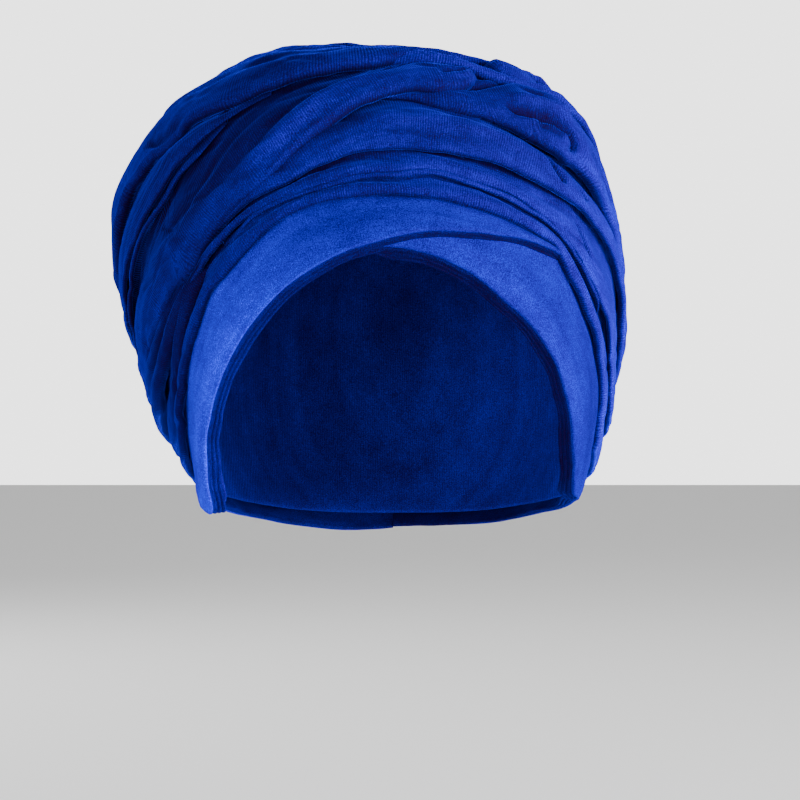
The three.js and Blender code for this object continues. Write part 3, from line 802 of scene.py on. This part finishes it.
twist = [
    (twistFoot, twistLow, {
        "run": (-204, 22), "fade": (20, 6), "seed": 81, "uneven": 0.6, "lines": leafLines, "paintedFootHighlight": 1.0,
        "paintedFlankLight": 1.3, "roll": [(-60, 2.0), (-30, 2.8), (8, 2.8)],
        "lift": [(-120, 5), (-80, 5.6), (-60, 3.4), (-40, 2.8), (-20, 4.2), (8, 4.6), (16, 4.2)],
        "bow": [(-120, 3.2), (-80, 3.6), (-50, 1.6), (20, 1.6)],
        "paintedNapLight": [(-100, 0.34), (-60, 0.38), (-34, 0.5), (-22, 0.7), (-6, 0.45), (20, 0.42)],
    }),
    (twistLow, twistSecond, {
        "run": (-200, -36), "fade": (20, 26), "lift": [(-110, 3), (-75, 3), (-55, 1.2)], "roll": 0.8,
        "thick": 1, "seed": 82, "uneven": 0.3, "bow": 0.2, "paintedFootHighlight": 0.8, "drop": 1.5,
        "paintedNapLight": [(-100, 0.38), (-55, 0.5)],
    }),
    (twistSecond, twistUpper, {
        "run": (-200, -26), "fade": (20, 26), "lift": [(-110, 3.4), (-75, 3.4), (-55, 1.4)], "roll": 0.9,
        "seed": 83, "uneven": 0.4, "bow": 1.2, "paintedFootHighlight": 0.8, "drop": 2, "paintedNapLight": [(-100, 0.38), (-55, 0.5)],
    }),
    (twistUpper, twistTop, {
        "run": (-200, 22), "fade": (20, 8), "lift": 2.8, "roll": 2.2, "seed": 84, "uneven": 0.7, "tuck": 2,
        "bow": [(-120, 1.6), (-60, 2.6), (-40, 1.0), (-15, 2.0), (20, 0.2)], "sink": 3, "lines": upperLines,
        "paintedFootHighlight": 0.6, "paintedNapLight": [(-110, 0.45), (-50, 0.58)],
    }),
]
leftTwist = ClothMesh()
for foot, top, values in twist:
    addStrip(leftTwist, foot, top, formRadius, **values)
twistPiece = leftTwist.build("leftTwist", wrapVelvet, "left_twist")

# The tucked end, a small knob over the tip of the twist
knotRows = [
    # turn, foot, top
    (20, 45.5, 47), (25, 43.8, 49.5), (29, 43, 51), (34, 43, 51), (42, 44, 50.5), (56, 45.5, 49.5),
]
knot = {
    "run": (20, 56), "fade": (6, 24), "lift": [(20, 4.0), (32, 5.5), (56, 5.5)], "roll": 2.8, "seed": 91,
    "uneven": 0.3, "bow": 4.0, "tuck": 1, "sink": -1, "drop": 4, "paintedFootHighlight": 0.4,
    "lines": [{"path": [(22, 46.4), (29, 45.8), (38, 46.4)], "height": -1.0, "width": 1.0}],
}
tuckEnd = ClothMesh()
addStrip(tuckEnd, column(knotRows, 1, ring=False), column(knotRows, 2, ring=False), formRadius, **knot)
tuckPiece = tuckEnd.build("tuckEnd", wrapVelvet, "tuck_end")

# The cap: a thin shell from its middle down to the opening
cap = {
    "rows": 60,
    "footGap": 0.6,  # degrees over the opening's edge
    "poleRise": 89.2,
    "insideGap": 0.3,
    "wallLess": 0.4,
    "gather": 0.45,
    "gathers": 40,
    "waver": 0.8,
    "shade": 0.9,
}
capCrown = ClothMesh()
capTurn = stationTurns(None)
capFoot = opening(capTurn)[:, None]
capRise = capFoot + cap["footGap"] + (cap["poleRise"] - capFoot) * np.linspace(0, 1, cap["rows"])[None]
capTurns = np.broadcast_to(capTurn[:, None], capRise.shape)
pleating = cap["gather"] * smoothStep(48, 60, capRise) * (1 - smoothStep(62, 86, capRise))
pleating = pleating * np.sin(np.radians(capTurns) * cap["gathers"] + cap["waver"] * wander(capTurns, 13, 20))
inside = capInside(capTurns, capRise) + cap["insideGap"]
outside = inside + form["wall"] - cap["wallLess"] + pleating
hemAngle = np.radians(np.linspace(90, -90, 7))[None, 1:-1]
hemMiddle = (inside[:, :1] + outside[:, :1]) / 2
hemHalf = (outside[:, :1] - inside[:, :1]) / 2
hemRises = capRise[:, :1] - np.degrees(hemHalf * np.cos(hemAngle) / hemMiddle)
capRises = np.concatenate([capRise[:, ::-1], hemRises, capRise], 1)
capRadii = np.concatenate([outside[:, ::-1], hemMiddle + hemHalf * np.sin(hemAngle), inside], 1)
capLoops = place(np.broadcast_to(capTurn[:, None], capRises.shape), capRises, capRadii)
capCrown.addLoops(capLoops, capLoops[..., 0], capLoops[..., 1], True, np.full(capRadii.shape, cap["shade"]))
capPiece = capCrown.build("capCrown", capVelvet, "cap_crown")

# Floor, light and camera, none of them part of the object
studio = {
    "floor": -0.16,
    "floorColour": (0.95, 0.95, 0.95, 1),
    "floorRough": 0.7,
    "aim": (0, 0, 0.05),
    "level": 0.5,  # the strength of the sky at eye level, then overhead and behind the object
    "overhead": 0.3,
    "behind": 2.4,
    "lights": [  # place, size, power
        ("key", (1.6, -0.6, 0.25), 0.6, 80.0),
        ("front", (0.5, -1.7, 0.15), 0.8, 6.0),
        ("fill", (-0.85, -1.5, -0.3), 0.7, 78.0),
        ("rim", (-0.9, 0.9, 0.5), 0.6, 12.0),
    ],
}
view = {
    "away": 1.3,
    "height": 0.03,
    "lens": 158.1,
    "sensor": 36,
    "pixels": 800,
    "pixelSize": 0.00037,  # metres of the object for each pixel of the photograph
    "pixelsRight": 7,
    "pixelsUp": 40.0,
}


def addLight(name, where, size, power):
    lamp = bpy.data.lights.new(name, "AREA")
    lamp.energy, lamp.size = power, size
    holder = bpy.data.objects.new(name, lamp)
    bpy.context.scene.collection.objects.link(holder)
    holder.location = where
    holder.rotation_euler = (Vector(studio["aim"]) - Vector(where)).to_track_quat("-Z", "Y").to_euler()


bpy.ops.mesh.primitive_plane_add(size=8, location=(0, 0, studio["floor"]))
floor = bpy.context.object
floor.name = "floor"
pale = bpy.data.materials.new("paleFloor")
pale.use_nodes = True
paleInputs = pale.node_tree.nodes["Principled BSDF"].inputs
paleInputs["Base Color"].default_value = studio["floorColour"]
paleInputs["Roughness"].default_value = studio["floorRough"]
floor.data.materials.append(pale)

world = bpy.data.worlds.new("studioWorld")
world.use_nodes = True
skyNodes, skyLinks = world.node_tree.nodes, world.node_tree.links
skyWay = addNode(skyNodes, "TexCoord")
skySplit = addNode(skyNodes, "SeparateXYZ")
skyNodes["Background"].inputs["Color"].default_value = (1, 1, 1, 1)
skyLevel = addNode(
    skyNodes, "MapRange", From_Min=0.05, From_Max=0.75, To_Min=studio["level"], To_Max=studio["overhead"]
)
skyLinks.new(skyWay.outputs["Generated"], skySplit.inputs["Vector"])
skyLinks.new(skySplit.outputs["Z"], skyLevel.inputs["Value"])
skyBack = addNode(skyNodes, "MapRange", From_Min=0.6, From_Max=0.97, To_Max=studio["behind"])
skyLinks.new(skySplit.outputs["Y"], skyBack.inputs["Value"])
skySum = addNode(skyNodes, "Math")
skyLinks.new(skyLevel.outputs["Result"], skySum.inputs[0])
skyLinks.new(skyBack.outputs["Result"], skySum.inputs[1])
skyLinks.new(skySum.outputs[0], skyNodes["Background"].inputs["Strength"])
bpy.context.scene.world = world
for name, where, size, power in studio["lights"]:
    addLight(name, where, size, power)

camera = bpy.data.objects.new("camera", bpy.data.cameras.new("camera"))
bpy.context.scene.collection.objects.link(camera)
camera.location = (0, -view["away"], view["height"])
camera.rotation_euler = (np.pi / 2, 0, 0)
camera.data.lens = view["lens"]
camera.data.sensor_width = view["sensor"]
camera.data.shift_x = view["pixelsRight"] / view["pixels"]
camera.data.shift_y = (view["pixelsUp"] - view["height"] / view["pixelSize"]) / view["pixels"]
bpy.context.scene.camera = camera
print("studio ready")
